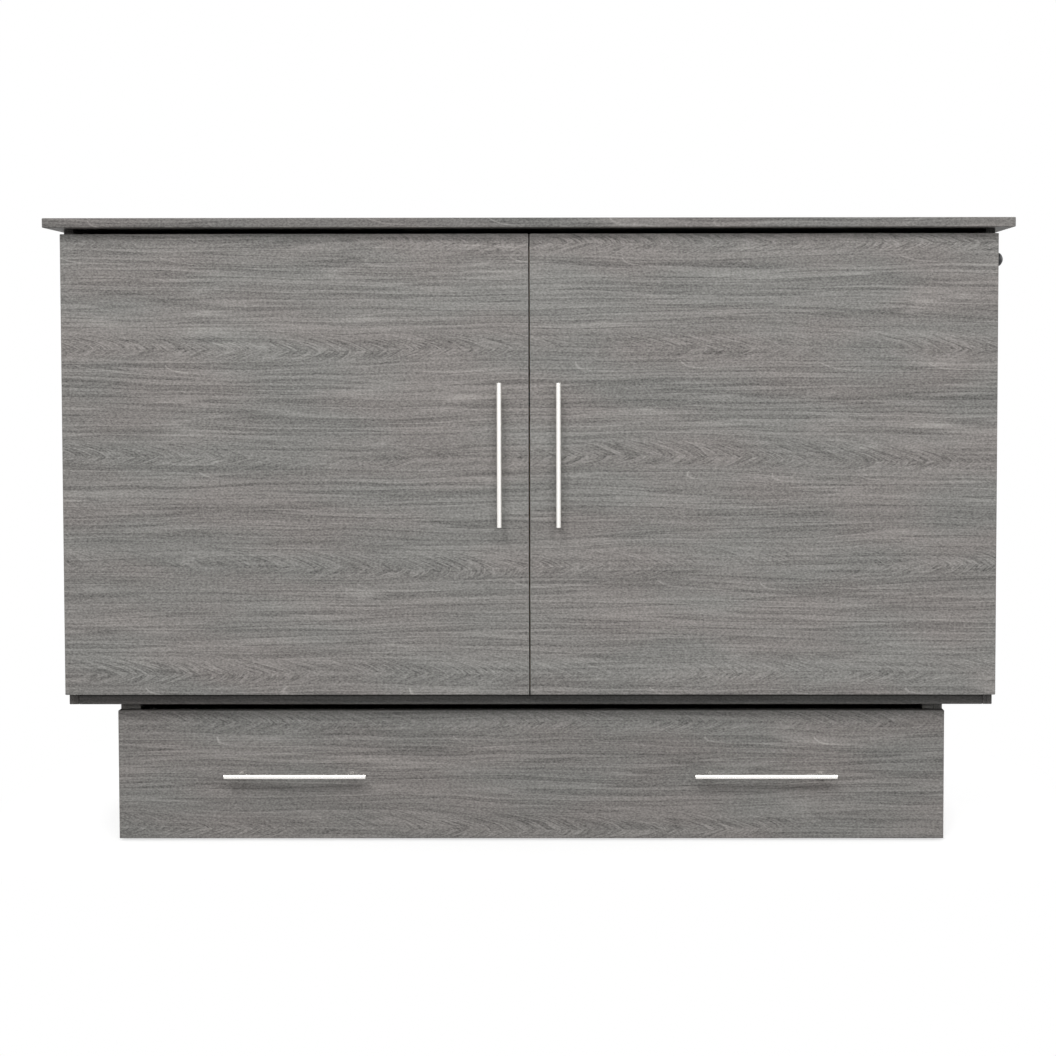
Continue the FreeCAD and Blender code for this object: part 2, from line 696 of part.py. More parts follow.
# ---- deck latch -----------------------------------------------------------------------------------------------
def make_latch():
    centre = (0, latch_y, latch_z)
    boss_end = side_out + latch_boss_length
    chamber_start = side_in + latch_end_wall
    chamber_end = boss_end - latch_end_wall
    bush = turned(
        [
            (side_in, latch_bush_radius),
            (side_out, latch_bush_radius),
            (side_out, latch_flange_radius),
            (side_out + latch_flange, latch_flange_radius),
            (side_out + latch_flange, latch_boss_radius),
            (boss_end, latch_boss_radius),
        ],
        centre, X)
    chamber = rod(latch_chamber_radius, (chamber_start, latch_y, latch_z), X, chamber_end - chamber_start)
    bore_radius = latch_pin_radius + running_clearance
    bore = rod(bore_radius, (side_in - 1, latch_y, latch_z), X, boss_end - side_in + 2)
    keep("latch_bush", bush.cut([chamber, bore]))
    knob_start = boss_end + latch_knob_gap
    knob_end = knob_start + latch_knob_length
    pin_start = leaf_half - latch_engagement
    knob_root = knob_start + latch_knob_length / 2
    collar_end = chamber_start + latch_collar
    collar_radius = latch_chamber_radius - latch_collar_clearance
    pin = turned(
        [
            (pin_start, latch_pin_radius - 1),
            (pin_start + 1, latch_pin_radius),
            (chamber_start, latch_pin_radius),
            (chamber_start, collar_radius),
            (collar_end, collar_radius),
            (collar_end, latch_pin_radius),
            (knob_root, latch_pin_radius),
        ],
        centre, X)
    keep("latch_pin", pin)
    radius = latch_knob_radius
    knob = turned(
        [
            (knob_start, radius * 0.8),
            (knob_start + latch_knob_length * 0.12, radius * 0.86),
            (knob_start + latch_knob_length * 0.26, radius * 0.98),
            (knob_start + latch_knob_length * 0.4, radius),
            (knob_start + latch_knob_length * 0.56, radius * 0.93),
            (knob_start + latch_knob_length * 0.72, radius * 0.8),
            (knob_start + latch_knob_length * 0.86, radius * 0.6),
            (knob_end, radius * 0.32),
        ],
        centre, X)
    keep("latch_knob", knob.cut(pin))
    length = chamber_end - collar_end - 2 * spring_wire_radius
    helix = Part.makeHelix(length / spring_turns, length, spring_mean_radius)
    start = FreeCAD.Vector(spring_mean_radius, 0, 0)
    ring = Part.Wire([Part.makeCircle(spring_wire_radius, start, Y)])
    coil = Part.Wire(helix.Edges).makePipeShell([ring], True, True)
    coil.rotate(FreeCAD.Vector(0, 0, 0), *axis_turn(X))
    coil.translate(FreeCAD.Vector(collar_end + spring_wire_radius, latch_y, latch_z))
    keep("latch_spring", coil)


make_carcass()
make_lid()
make_door(-1)
make_door(1)
make_catches()
make_drawer()
make_deck()
make_mattress()
make_latch()

os.makedirs("parts", exist_ok=True)
for name, solids in parts.items():
    for solid in solids:
        if not solid.isValid() or solid.Volume <= 0:
            raise RuntimeError(name + " holds a solid that is not sound")
    shape = solids[0] if len(solids) == 1 else Part.makeCompound(solids)
    shape.exportStep("parts/" + name + ".step")
print(len(parts), "sub-parts,", sum(len(s) for s in parts.values()), "solids")
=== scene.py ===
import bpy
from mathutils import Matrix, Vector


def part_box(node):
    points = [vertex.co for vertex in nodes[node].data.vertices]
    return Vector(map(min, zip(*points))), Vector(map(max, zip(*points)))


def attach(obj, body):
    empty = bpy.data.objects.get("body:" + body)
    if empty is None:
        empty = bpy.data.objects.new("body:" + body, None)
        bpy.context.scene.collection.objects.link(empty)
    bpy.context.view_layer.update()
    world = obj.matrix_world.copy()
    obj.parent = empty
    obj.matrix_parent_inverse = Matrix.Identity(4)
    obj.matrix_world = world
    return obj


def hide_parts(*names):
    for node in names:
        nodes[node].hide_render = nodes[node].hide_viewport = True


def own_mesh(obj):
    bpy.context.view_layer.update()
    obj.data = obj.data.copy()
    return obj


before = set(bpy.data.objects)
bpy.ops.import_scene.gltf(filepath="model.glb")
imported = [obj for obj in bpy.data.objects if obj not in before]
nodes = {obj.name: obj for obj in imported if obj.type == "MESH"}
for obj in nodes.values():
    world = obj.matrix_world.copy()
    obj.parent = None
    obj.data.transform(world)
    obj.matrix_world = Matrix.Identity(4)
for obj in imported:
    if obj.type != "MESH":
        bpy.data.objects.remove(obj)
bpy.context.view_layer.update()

import math

import bpy
from mathutils import Matrix, Vector

mm = 0.001


# sRGB hex to linear RGBA
def linear(hexColour):
    parts = [int(hexColour[i:i + 2], 16) / 255 for i in (1, 3, 5)]
    return [c / 12.92 if c <= 0.04045 else ((c + 0.055) / 1.055) ** 2.4 for c in parts] + [1.0]


# one shader node: inputs in order or by name, where a number is set and a node or socket is linked
def addNode(tree, kind, *inputs, named=None, **settings):
    node = tree.nodes.new("ShaderNode" + kind)
    for key, value in settings.items():
        setattr(node, key, value)
    for key, item in [*enumerate(inputs), *(named or {}).items()]:
        if isinstance(item, bpy.types.Node):
            item = item.outputs[0]
        if isinstance(item, bpy.types.NodeSocket):
            tree.links.new(item, node.inputs[key])
        else:
            node.inputs[key].default_value = item
    return node


def newMaterial(name, **shaderValues):
    material = bpy.data.materials.new(name)
    material.use_nodes = True
    tree = material.node_tree
    shader = tree.nodes["Principled BSDF"]
    for key, value in shaderValues.items():
        shader.inputs[key].default_value = value
    return material, tree, shader


def paint(material, *names):
    for name in names:
        mesh = nodes[name].data
        mesh.materials.clear()
        mesh.materials.append(material)


grain = {
    "warmGrey": "#85817E",
    "coolGrey": "#82817E",
    "greyChange": (0.38, 0.62),      # noise values between which one grey gives way to the other
    "roughness": 0.55,
    "specular": 0.22,                # low, because the shallow relief breaks up the highlight
    "squareOn": 0.7,                 # past this share of its normal, a face looks along an axis
    # each size in mm, along the grain and across it
    "waveSize": (700.0, 150.0),      # slow bends of the whole print
    "rippleSize": (170.0, 42.0),
    "bandSize": (3600.0, 46.0),
    "streakSize": (150.0, 3.0),      # printed pores are 0.3 mm wide; a pixel of the picture is 1.7 mm
    "gritSize": (4.2, 2.6),          # the plate's relief is about 0.5 mm; drawn coarser for the same reason
    "longLineSize": (420.0, 9.0),
    "strokeSize": (14.0, 36.0),      # one stroke of a feathered band
    "strokePatchSize": (300.0, 60.0),
    "veinSize": (420.0, 34.0),
    "veinPatchSize": (150.0, 60.0),
    "hookPatchSize": (330.0, 90.0),
    "huePatchSize": (260.0, 90.0),
    # how far the waves and the ripples carry a part of the print, mm
    "waveReach": 40.0,
    "rippleReach": 10.0,
    "waveInFeathers": 26.0,
    "rippleInStrokes": 60.0,
    "waveInHooks": 500.0,
    "rippleInHooks": 14.0,
    # gain and offset that leave patches of a noise, with nothing between them
    "strokePatches": (3.4, -1.0),
    "hookPatches": (8.0, -3.4),
    "veinPatches": (6.0, -2.9),
    "linePair": (0.55, 0.45),        # noise levels of the light line and of the dark line beside it
    "lineSharpness": 14.0,
    "veinSharpness": 36.0,
    "hookSharpness": 0.5,
    "featherSpacing": 184.0,         # between the feathered bands, mm
    "featherHalfWidth": 34.0,
    "featherHeight": 575.0,          # middle of one band, from the start of the print
    "featherOffset": 523.0,          # moves the strokes above the middle away from those below it
    "featherReach": (0.7, 0.6),      # below the middle, and what is added above it, in half widths
    "featherEdge": 1.5,              # a higher value gives a harder edge
    "strokeLean": 1.3,               # how far a stroke leans along the grain, and where it bends over, mm
    "strokeBend": 18.0,
    "calmInFeathers": 0.7,           # how much of the level lines a feathered band covers
    "hookSpacing": 210.0,
    "hookDrop": 11.0,
    "hookFall": 0.93,                # what each mm along a hook leaves of its drop
    "hookSlope": 0.035,
    "hookHead": 0.4,                 # extra light at the start of a hook, and what each mm leaves of it
    "hookFade": 0.94,
    # contrast of each part of the print
    "broadBands": 0.68,
    "fineStreaks": 0.55,
    "grit": 1.45,
    "longLines": 0.24,
    "feathers": 0.32,
    "veins": 0.3,
    "hooks": 0.5,
    "embossing": 0.25,               # depth of the pressed relief, mm
}


# Melamine-faced chipboard: grey oak printed on paper and pressed under a plate with a shallow wood relief.
# The eye sees fine level lines, a few feathered bands and a matt face with no mirror in it.
# The ends of a board are banded, and the lines of the band run along endAlong.
def woodGrainMelamine(name, along, endAlong="Z", lift=0.0, slide=0.0, tone=1.0, paintedEdgeShade=None):
    material, tree, shader = newMaterial(name, Roughness=grain["roughness"], IOR=1.5)
    shader.inputs["Specular IOR Level"].default_value = grain["specular"]
    place = addNode(tree, "TexCoord")
    xyz = addNode(tree, "SeparateXYZ", place.outputs["Object"])
    facing = addNode(tree, "SeparateXYZ", place.outputs["Normal"])

    # 1 on faces that look along an axis
    def faces(axis):
        turned = addNode(tree, "Math", facing.outputs[axis], operation="ABSOLUTE")
        return addNode(tree, "Math", turned, grain["squareOn"], operation="GREATER_THAN")

    # u (mm) runs along the grain and v across it, on the broad faces and the edges alike
    others = [axis for axis in "XYZ" if axis != along]
    thickness = next(axis for axis in others if axis != endAlong)
    onFace = addNode(tree, "Math", xyz.outputs[others[0]], xyz.outputs[others[1]], operation="ADD")
    onEnd = addNode(tree, "Math", xyz.outputs[along], xyz.outputs[thickness], operation="ADD")
    ends = faces(along)
    u = addNode(tree, "Mix", data_type="FLOAT", named={"Factor": ends, "A": xyz.outputs[along],
                                                       "B": xyz.outputs[endAlong]})
    v = addNode(tree, "Mix", data_type="FLOAT", named={"Factor": ends, "A": onFace, "B": onEnd})
    u = addNode(tree, "Math", u, 1 / mm, slide, operation="MULTIPLY_ADD")
    v = addNode(tree, "Math", v, 1 / mm, lift, operation="MULTIPLY_ADD")

    # a noise of the given size, from 0 to 1, or about 0
    def noise(size, uInput, vInput, seed, detail=1.0, roughness=0.5, aboutZero=False):
        across = addNode(tree, "Math", uInput, size[0], operation="DIVIDE")
        up = addNode(tree, "Math", vInput, size[1], operation="DIVIDE")
        vector = addNode(tree, "CombineXYZ", across, up, seed)
        made = addNode(tree, "TexNoise", named={"Vector": vector, "Scale": 1.0, "Detail": detail,
                                                "Roughness": roughness})
        if aboutZero:
            return addNode(tree, "Math", made.outputs["Fac"], 0.5, operation="SUBTRACT")
        return made.outputs["Fac"]

    # light where the noise passes one level and dark where it passes another, so the lines come in pairs
    def thinLines(value):
        ridges = []
        for level in grain["linePair"]:
            offLevel = addNode(tree, "Math", value, level, operation="SUBTRACT")
            offLevel = addNode(tree, "Math", offLevel, operation="ABSOLUTE")
            ridges.append(addNode(tree, "Math", offLevel, -grain["lineSharpness"], 1.0,
                                  operation="MULTIPLY_ADD", use_clamp=True))
        return addNode(tree, "Math", *ridges, operation="SUBTRACT")

    wave = noise(grain["waveSize"], u, v, seed=3.1, aboutZero=True)
    ripple = noise(grain["rippleSize"], u, v, seed=7.7, aboutZero=True)
    bent = addNode(tree, "Math", wave, grain["waveReach"], v, operation="MULTIPLY_ADD")
    bent = addNode(tree, "Math", ripple, grain["rippleReach"], bent, operation="MULTIPLY_ADD")

    bands = noise(grain["bandSize"], u, bent, seed=9.4, detail=5.0, roughness=0.78, aboutZero=True)
    streaks = noise(grain["streakSize"], u, bent, seed=1.3, detail=2.0, roughness=0.6, aboutZero=True)
    grit = noise(grain["gritSize"], u, v, seed=2.2, roughness=0.7, aboutZero=True)
    longLines = thinLines(noise(grain["longLineSize"], u, bent, seed=14.8))

    # feathered bands: strokes meet in a point along a level line, and the two sides are not alike
    halfSpacing = grain["featherSpacing"] / 2
    below, more = [share * grain["featherHalfWidth"] for share in grain["featherReach"]]
    fromMiddle = addNode(tree, "Math", wave, grain["waveInFeathers"], v, operation="MULTIPLY_ADD")
    fromMiddle = addNode(tree, "Math", fromMiddle, grain["featherHeight"], operation="SUBTRACT")
    offAxis = addNode(tree, "Math", fromMiddle, -halfSpacing, halfSpacing, operation="WRAP")
    above = addNode(tree, "Math", offAxis, 0.0, operation="GREATER_THAN")
    distance = addNode(tree, "Math", offAxis, operation="ABSOLUTE")
    reach = addNode(tree, "Math", above, more, below, operation="MULTIPLY_ADD")
    inBand = addNode(tree, "Math", distance, reach, operation="DIVIDE")
    inBand = addNode(tree, "Math", inBand, -grain["featherEdge"], grain["featherEdge"],
                     operation="MULTIPLY_ADD", use_clamp=True)
    sweep = addNode(tree, "Math", distance, distance, operation="MULTIPLY")
    sweep = addNode(tree, "Math", sweep, grain["strokeBend"], operation="DIVIDE")
    sweep = addNode(tree, "Math", distance, grain["strokeLean"], sweep, operation="MULTIPLY_ADD")
    sweep = addNode(tree, "Math", ripple, grain["rippleInStrokes"], sweep, operation="MULTIPLY_ADD")
    alongStroke = addNode(tree, "Math", above, grain["featherOffset"], u, operation="MULTIPLY_ADD")
    alongStroke = addNode(tree, "Math", alongStroke, sweep, operation="ADD")
    strokes = thinLines(noise(grain["strokeSize"], alongStroke, bent, seed=4.4))
    patch = noise(grain["strokePatchSize"], u, v, seed=6.6)
    patch = addNode(tree, "Math", patch, *grain["strokePatches"], operation="MULTIPLY_ADD", use_clamp=True)
    strength = addNode(tree, "Math", inBand, patch, operation="MULTIPLY")

    # light hooks under the bands: each starts as a comma and trails off along the grain
    run = addNode(tree, "Math", wave, grain["waveInHooks"], u, operation="MULTIPLY_ADD")
    run = addNode(tree, "Math", run, grain["hookSpacing"], operation="FLOORED_MODULO")
    drop = addNode(tree, "Math", grain["hookFall"], run, operation="POWER")
    drop = addNode(tree, "Math", drop, -grain["hookDrop"], grain["hookDrop"], operation="MULTIPLY_ADD")
    drop = addNode(tree, "Math", run, grain["hookSlope"], drop, operation="MULTIPLY_ADD")
    drop = addNode(tree, "Math", drop, below, operation="ADD")
    drop = addNode(tree, "Math", ripple, grain["rippleInHooks"], drop, operation="MULTIPLY_ADD")
    hook = addNode(tree, "Math", offAxis, drop, operation="ADD")
    hook = addNode(tree, "Math", hook, operation="ABSOLUTE")
    hook = addNode(tree, "Math", hook, -grain["hookSharpness"], 1.0, operation="MULTIPLY_ADD",
                   use_clamp=True)
    trail = addNode(tree, "Math", grain["hookFade"], run, operation="POWER")
    trail = addNode(tree, "Math", trail, grain["hookHead"], 1.0, operation="MULTIPLY_ADD")
    trail = addNode(tree, "Math", run, -1 / grain["hookSpacing"], trail, operation="MULTIPLY_ADD")
    hook = addNode(tree, "Math", hook, trail, operation="MULTIPLY")
    patch = noise(grain["hookPatchSize"], u, v, seed=21.5)
    patch = addNode(tree, "Math", patch, *grain["hookPatches"], operation="MULTIPLY_ADD", use_clamp=True)
    hook = addNode(tree, "Math", hook, patch, operation="MULTIPLY")

    # thin light veins
    ridge = noise(grain["veinSize"], u, bent, seed=8.8, aboutZero=True)
    ridge = addNode(tree, "Math", ridge, operation="ABSOLUTE")
    vein = addNode(tree, "Math", ridge, -grain["veinSharpness"], 1.0, operation="MULTIPLY_ADD",
                   use_clamp=True)
    patch = noise(grain["veinPatchSize"], u, v, seed=5.9)
    patch = addNode(tree, "Math", patch, *grain["veinPatches"], operation="MULTIPLY_ADD", use_clamp=True)
    vein = addNode(tree, "Math", vein, patch, operation="MULTIPLY")

    # the level lines give way inside a feathered band
    outside = addNode(tree, "Math", strength, -grain["calmInFeathers"], 1.0, operation="MULTIPLY_ADD")
    streaks = addNode(tree, "Math", streaks, outside, operation="MULTIPLY")
    longLines = addNode(tree, "Math", longLines, outside, operation="MULTIPLY")
    strokes = addNode(tree, "Math", strokes, strength, operation="MULTIPLY")
    total = addNode(tree, "Math", bands, grain["broadBands"], operation="MULTIPLY")
    for layer, contrast in ((streaks, "fineStreaks"), (longLines, "longLines"), (strokes, "feathers"),
                            (grit, "grit"), (vein, "veins"), (hook, "hooks")):
        total = addNode(tree, "Math", layer, grain[contrast], total, operation="MULTIPLY_ADD")

    # painted shade: the faces that look along Y, the front and back edges, take paintedEdgeShade in place
    # of tone; the lid and the side panels set it lower, so those edges come out darker, as if in shade
    base = addNode(tree, "Math", faces("Y"), (paintedEdgeShade or tone) - tone, tone, operation="MULTIPLY_ADD")
    shade = addNode(tree, "Math", total, 1.0, operation="ADD")
    shade = addNode(tree, "Math", shade, base, operation="MULTIPLY")
    changeFrom, changeTo = grain["greyChange"]
    patches = addNode(tree, "MapRange", named={"Value": noise(grain["huePatchSize"], u, v, seed=11.0),
                                               "From Min": changeFrom, "From Max": changeTo})
    hue = addNode(tree, "Mix", data_type="RGBA", named={"Factor": patches, "A": linear(grain["warmGrey"]),
                                                        "B": linear(grain["coolGrey"])})
    colour = addNode(tree, "VectorMath", hue.outputs["Result"], operation="SCALE", named={"Scale": shade})
    tree.links.new(colour.outputs[0], shader.inputs["Base Color"])
    bump = addNode(tree, "Bump", named={"Height": total, "Strength": 1.0,
                                        "Distance": grain["embossing"] * mm})
    tree.links.new(bump.outputs[0], shader.inputs["Normal"])
    return material


timber = {
    "roughness": 0.6,
    # each size in mm, along the grain and across it
    "ringSize": (625.0, 16.7),
    "poreSize": (16.7, 1.1),         # real pores are 0.1 mm; drawn coarser so that a close view shows them
    "acrossDepth": 0.7,              # share of the depth that counts as width, so edges differ from faces
    "ringContrast": (3.0, -1.2),     # gain and offset
    "poreContrast": (0.9, -0.45),
    "relief": 0.1,
    "reliefStrength": 0.25,
}


# Planed and sanded birch or spruce, left raw: long growth rings, short pores, a dry low sheen.
# The grain runs along X, and along Z in pieces further from the middle than uprightPast (metres).
def sandedTimber(name, paleHex, darkHex, uprightPast=None):
    material, tree, shader = newMaterial(name, Roughness=timber["roughness"], IOR=1.5)
    place = addNode(tree, "TexCoord")
    xyz = addNode(tree, "SeparateXYZ", place.outputs["Object"])
    long, cross = xyz.outputs["X"], xyz.outputs["Z"]
    if uprightPast:
        far = addNode(tree, "Math", xyz.outputs["X"], operation="ABSOLUTE")
        far = addNode(tree, "Math", far, uprightPast, operation="GREATER_THAN")
        swap = addNode(tree, "Mix", data_type="FLOAT", named={"Factor": far, "A": long, "B": cross})
        back = addNode(tree, "Mix", data_type="FLOAT", named={"Factor": far, "A": cross, "B": long})
        long, cross = swap.outputs["Result"], back.outputs["Result"]
    cross = addNode(tree, "Math", xyz.outputs["Y"], timber["acrossDepth"], cross, operation="MULTIPLY_ADD")

    def noise(size, **values):
        run = addNode(tree, "Math", long, size[0] * mm, operation="DIVIDE")
        width = addNode(tree, "Math", cross, size[1] * mm, operation="DIVIDE")
        vector = addNode(tree, "CombineXYZ", run, width)
        made = addNode(tree, "TexNoise", named={"Vector": vector, "Scale": 1.0, **values})
        return made.outputs["Fac"]

    rings = noise(timber["ringSize"], Detail=4.0, Roughness=0.6, Distortion=0.4)
    rings = addNode(tree, "Math", rings, *timber["ringContrast"], operation="MULTIPLY_ADD")
    pores = noise(timber["poreSize"])
    pores = addNode(tree, "Math", pores, *timber["poreContrast"], operation="MULTIPLY_ADD")
    blend = addNode(tree, "Math", rings, pores, operation="ADD", use_clamp=True)
    mix = addNode(tree, "Mix", data_type="RGBA", named={"Factor": blend, "A": linear(paleHex),
                                                        "B": linear(darkHex)})
    tree.links.new(mix.outputs["Result"], shader.inputs["Base Color"])
    bump = addNode(tree, "Bump", named={"Height": blend, "Strength": timber["reliefStrength"],
                                        "Distance": timber["relief"] * mm})
    tree.links.new(bump.outputs[0], shader.inputs["Normal"])
    return material


coating = {
    # each size in mm
    "cloudSize": 111.0,              # slow unevenness of a rolled coat
    "peelSize": 2.5,                 # orange peel of the coat
    "peelRelief": 0.08,
    "peelStrength": 0.2,
    "pebbleRelief": 0.05,
    "pebbleStrength": 0.2,
    "brushLine": 0.25,               # real brush lines are 0.05 mm apart; coarse enough for a close view
    "brushRelief": 0.03,
    "brushStrength": 0.12,
    "brushStretch": 50.0,            # length of a brush line in widths
    "brushPolish": (-0.07, 0.09),    # how far a line's roughness lies below and above that of the metal
    # how far the colour spreads to either side of its tone
    "cloudSpread": 0.1,
    "pebbleSpread": 0.2,
    "brushSpread": 0.06,
}


# colour spread evenly about one tone
def spreadColour(tree, shader, hexColour, spread, factor):
    tone = linear(hexColour)[:3]
    mix = addNode(tree, "Mix", data_type="RGBA",
                  named={"Factor": factor, "A": [c * (1 - spread) for c in tone] + [1.0],
                         "B": [min(1.0, c * (1 + spread)) for c in tone] + [1.0]})
    tree.links.new(mix.outputs["Result"], shader.inputs["Base Color"])


# Hardboard with a rolled coat of paint: even and matt, with slow clouds and a faint orange peel
def paintedHardboard(name, hexColour):
    material, tree, shader = newMaterial(name, Roughness=0.6, IOR=1.5)
    place = addNode(tree, "TexCoord")
    cloud = addNode(tree, "TexNoise", named={"Vector": place.outputs["Object"], "Detail": 4.0,
                                             "Scale": 1 / (coating["cloudSize"] * mm)})
    spreadColour(tree, shader, hexColour, coating["cloudSpread"], cloud)
    peel = addNode(tree, "TexNoise", named={"Vector": place.outputs["Object"], "Detail": 2.0,
                                            "Scale": 1 / (coating["peelSize"] * mm)})
    bump = addNode(tree, "Bump", named={"Height": peel, "Strength": coating["peelStrength"],
                                        "Distance": coating["peelRelief"] * mm})
    tree.links.new(bump.outputs[0], shader.inputs["Normal"])
    return material


# Steel, drawn, brushed along one axis and then plated with nickel or zinc: the fine lines differ a little
# in tone and stretch the highlight across them, so a bar shows a long soft streak
def brushedMetal(name, hexColour, along, roughness=0.3):
    material, tree, shader = newMaterial(name, Metallic=1.0, Roughness=roughness)
    place = addNode(tree, "TexCoord")
    width = coating["brushLine"] * mm
    sizes = [width * coating["brushStretch"] if axis == along else width for axis in "XYZ"]
    mapping = addNode(tree, "Mapping", named={"Vector": place.outputs["Object"],
                                              "Scale": [1 / size for size in sizes]})
    lines = addNode(tree, "TexNoise", named={"Vector": mapping, "Scale": 1.0, "Detail": 2.0})
    spreadColour(tree, shader, hexColour, coating["brushSpread"], lines)
    smoother, rougher = coating["brushPolish"]
    rough = addNode(tree, "MapRange", named={"Value": lines, "To Min": roughness + smoother,
                                             "To Max": roughness + rougher})
    tree.links.new(rough.outputs[0], shader.inputs["Roughness"])
    bump = addNode(tree, "Bump", named={"Height": lines, "Strength": coating["brushStrength"],
                                        "Distance": coating["brushRelief"] * mm})
    tree.links.new(bump.outputs[0], shader.inputs["Normal"])
    return material


# Nylon moulded in a spark-eroded tool, or powder coat baked on steel: both are pebbled, so the highlight
# is broad and broken
def pebbledCoat(name, hexColour, roughness=0.45, pebbleSize=0.6):
    material, tree, shader = newMaterial(name, Roughness=roughness, IOR=1.49)
    place = addNode(tree, "TexCoord")
    pebble = addNode(tree, "TexNoise", named={"Vector": place.outputs["Object"], "Detail": 2.0,
                                              "Scale": 1 / (pebbleSize * mm)})
    spreadColour(tree, shader, hexColour, coating["pebbleSpread"], pebble)
    bump = addNode(tree, "Bump", named={"Height": pebble, "Strength": coating["pebbleStrength"],
                                        "Distance": coating["pebbleRelief"] * mm})
    tree.links.new(bump.outputs[0], shader.inputs["Normal"])
    return material


textile = {
    "roughness": 0.85,
    "fuzzPitches": 3,                # size of the fuzz in thread pitches
    "fuzzShare": 0.4,                # how much of the look is fuzz, the rest being the weave
    "figureLevel": 0.25,             # a lower value widens the woven figure
    "figureShare": 0.3,
    "relief": 0.3,                   # height of the threads, mm
    "reliefStrength": 0.5,
}


# Plain or damask weave: warp and weft ridges at the thread pitch (mm), fuzz over them, and a soft woven
# figure if asked. The cloth looks dry, with a pale sheen along its turned-away edges.
def wovenCloth(name, paleHex, darkHex, pitch, sheen=0.2, figure=0.0):
    material, tree, shader = newMaterial(name, Roughness=textile["roughness"], IOR=1.45)
    shader.inputs["Sheen Weight"].default_value = sheen
    place = addNode(tree, "TexCoord")
    xyz = addNode(tree, "SeparateXYZ", place.outputs["Object"])

    # the product of two sine waves of one period (mm)
    def crossed(first, second, period):
        waves = []
        for value in (first, second):
            turned = addNode(tree, "Math", value, 2 * math.pi / (period * mm), operation="MULTIPLY")
            waves.append(addNode(tree, "Math", turned, operation="SINE"))
        return addNode(tree, "Math", *waves, operation="MULTIPLY")

    weave = crossed(xyz.outputs["X"], xyz.outputs["Z"], pitch)
    weave = addNode(tree, "Math", weave, 0.5, 0.5, operation="MULTIPLY_ADD")  # to lie between 0 and 1
    weave = addNode(tree, "Math", weave, 1 - textile["fuzzShare"], operation="MULTIPLY")
    fuzz = addNode(tree, "TexNoise", named={"Vector": place.outputs["Object"], "Detail": 3.0,
                                            "Scale": 1 / (textile["fuzzPitches"] * pitch * mm)})
    blend = addNode(tree, "Math", fuzz, textile["fuzzShare"], weave, operation="MULTIPLY_ADD")
    if figure:
        rising = addNode(tree, "Math", xyz.outputs["X"], xyz.outputs["Z"], operation="ADD")
        falling = addNode(tree, "Math", xyz.outputs["X"], xyz.outputs["Z"], operation="SUBTRACT")
        damask = crossed(rising, falling, figure)
        damask = addNode(tree, "Math", damask, textile["figureLevel"], operation="GREATER_THAN")
        blend = addNode(tree, "Math", blend, 1 - textile["figureShare"], operation="MULTIPLY")
        blend = addNode(tree, "Math", damask, textile["figureShare"], blend, operation="MULTIPLY_ADD")
    mix = addNode(tree, "Mix", data_type="RGBA", named={"Factor": blend, "A": linear(darkHex),
                                                        "B": linear(paleHex)})
    tree.links.new(mix.outputs["Result"], shader.inputs["Base Color"])
    bump = addNode(tree, "Bump", named={"Height": blend, "Strength": textile["reliefStrength"],
                                        "Distance": textile["relief"] * mm})
    tree.links.new(bump.outputs[0], shader.inputs["Normal"])
    return material


# lift and slide (mm) move the print, so that no two boards show the same part of it
doorGrain = woodGrainMelamine("doorMelamine", "X")
# painted shade: tone 0.91 darkens the whole drawer front, standing in for the shade it gets, set back under
# the doors
drawerGrain = woodGrainMelamine("drawerMelamine", "X", lift=45.0, slide=340.0, tone=0.91)
# painted shade: the lid's front and back edges are darkened to 0.84 of its face, standing in for less light
# falling on them
topGrain = woodGrainMelamine("topMelamine", "X", "Y", lift=-40.0, slide=900.0, paintedEdgeShade=0.84)
# painted shade: tone 0.29 darkens the whole floor panel, standing in for the shadow under the doors' lower
# edges
floorPanelGrainPaintedShade = woodGrainMelamine("floorPanelMelaminePaintedShade", "X", "Y", lift=55.0, slide=120.0, tone=0.29)
# painted shade: the side panels' front and back edges are darkened to 0.38 of their faces, standing in for
# the shade in the gaps under the lid and beside the doors
sideGrain = woodGrainMelamine("sideMelamine", "Y", slide=500.0, paintedEdgeShade=0.38)
plinthGrain = woodGrainMelamine("plinthMelamine", "Y", lift=20.0, slide=50.0)
innerBoard = woodGrainMelamine("innerMelamine", "X", lift=70.0, slide=640.0, tone=0.92)
innerSideBoard = woodGrainMelamine("innerSideMelamine", "Y", lift=30.0, slide=260.0, tone=0.92)
backBoard = paintedHardboard("hardboardBack", "#8B8882")
brushedNickelUpright = brushedMetal("brushedNickelUpright", "#F2F0EC", "Z", roughness=0.26)
brushedNickelLevel = brushedMetal("brushedNickelLevel", "#F2F0EC", "X", roughness=0.26)
satinNickel = brushedMetal("satinNickelPosts", "#F2F0EC", "Y", roughness=0.5)
zincPlate = brushedMetal("zincPlatedSteel", "#A9ABAD", "Z", roughness=0.38)
zincStrip = brushedMetal("zincPlatedStrip", "#A9ABAD", "X", roughness=0.38)
blackNylon = pebbledCoat("blackNylon", "#17171A")
blackPowderCoat = pebbledCoat("blackPowderCoat", "#1B1B1D", roughness=0.38, pebbleSize=0.9)
birch = sandedTimber("birchSlats", "#D2B78E", "#AD8957")
spruce = sandedTimber("spruceFrame", "#CDAF84", "#A07A49", uprightPast=0.7249)
ticking = wovenCloth("mattressTicking", "#EDEAE3", "#CFCAC0", 1.4, figure=52.0)
pipingTape = wovenCloth("mattressPiping", "#8E8A86", "#6E6A67", 1.2)
webbing = wovenCloth("strapWebbing", "#35353A", "#1D1D21", 2.2, sheen=0.05)

